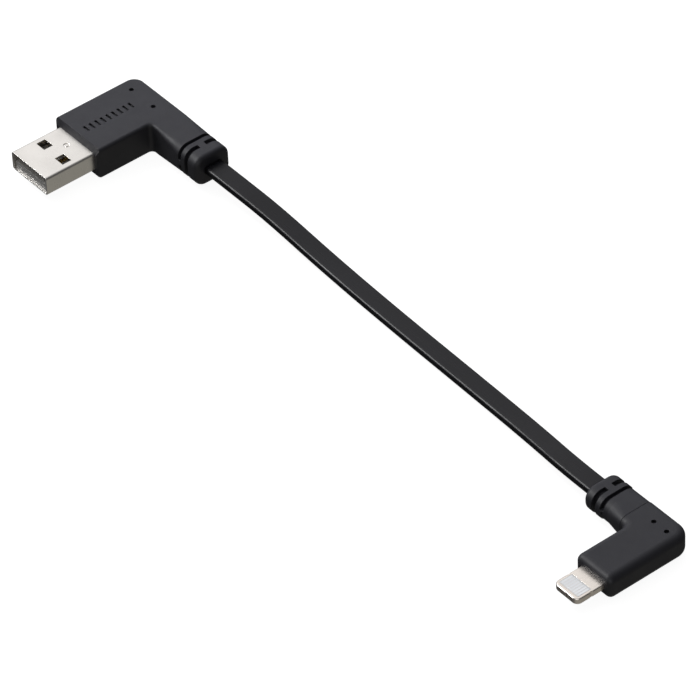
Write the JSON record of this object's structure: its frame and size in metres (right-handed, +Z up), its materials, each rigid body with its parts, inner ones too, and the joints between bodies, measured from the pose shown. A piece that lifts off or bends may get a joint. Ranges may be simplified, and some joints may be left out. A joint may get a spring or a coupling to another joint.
{
  "type": "charging cable",
  "caption": "Short flat charging cable with a right-angle standard USB plug at one end and a right-angle reversible tab plug at the other.",
  "frame": {"origin": "bottom centre of the box around the two plugs, on the surface the cable lies on", "axes": "+X along the cable from the USB plug to the phone plug, -Y the way both plugs are pushed in, +Z up from the surface"},
  "size_m": [0.1788, 0.0342, 0.0076],
  "materials": {
    "grip_charcoal": "matte, finely textured moulding",
    "cord_black": "satin",
    "shell_metal": "bright plated",
    "tongue_grey": "satin",
    "contact_gold": "polished",
    "contact_pale": "polished",
    "tab_metal": "satin",
    "tab_white": "gloss",
    "board_green": "gloss",
    "chip_black": "matte",
    "ceramic_tan": "satin",
    "can_steel": "satin",
    "inner_mould_white": "satin",
    "core_red": "satin",
    "core_white": "satin",
    "core_green": "satin",
    "core_black": "satin"
  },
  "bodies": {
    "root": {"cord_core_black": "core_black", "cord_core_green": "core_green", "cord_core_red": "core_red", "cord_core_white": "core_white", "cord_jacket": "cord_black", "phone_capacitors": "ceramic_tan", "phone_circuit_board": "board_green", "phone_contact_bottom_1": "contact_pale", "phone_contact_bottom_2": "contact_pale", "phone_contact_bottom_3": "contact_pale", "phone_contact_bottom_4": "contact_pale", "phone_contact_bottom_5": "contact_pale", "phone_contact_bottom_6": "contact_pale", "phone_contact_bottom_7": "contact_pale", "phone_contact_bottom_8": "contact_pale", "phone_contact_top_1": "contact_pale", "phone_contact_top_2": "contact_pale", "phone_contact_top_3": "contact_pale", "phone_contact_top_4": "contact_pale", "phone_contact_top_5": "contact_pale", "phone_contact_top_6": "contact_pale", "phone_contact_top_7": "contact_pale", "phone_contact_top_8": "contact_pale", "phone_control_chip": "chip_black", "phone_inner_mould": "inner_mould_white", "phone_jacket_end": "cord_black", "phone_lead_black": "core_black", "phone_lead_green": "core_green", "phone_lead_red": "core_red", "phone_lead_white": "core_white", "phone_overmould": "grip_charcoal", "phone_power_chip": "chip_black", "phone_shield_bottom": "can_steel", "phone_shield_top": "can_steel", "phone_strain_relief": "grip_charcoal", "phone_tab_frame": "tab_metal", "phone_tab_insulator": "tab_white", "usb_contact_1": "contact_gold", "usb_contact_2": "contact_gold", "usb_contact_3": "contact_gold", "usb_contact_4": "contact_gold", "usb_inner_mould": "inner_mould_white", "usb_jacket_end": "cord_black", "usb_lead_black": "core_black", "usb_lead_green": "core_green", "usb_lead_red": "core_red", "usb_lead_white": "core_white", "usb_overmould": "grip_charcoal", "usb_shell": "shell_metal", "usb_tongue": "tongue_grey"}
  },
  "joints": []
}
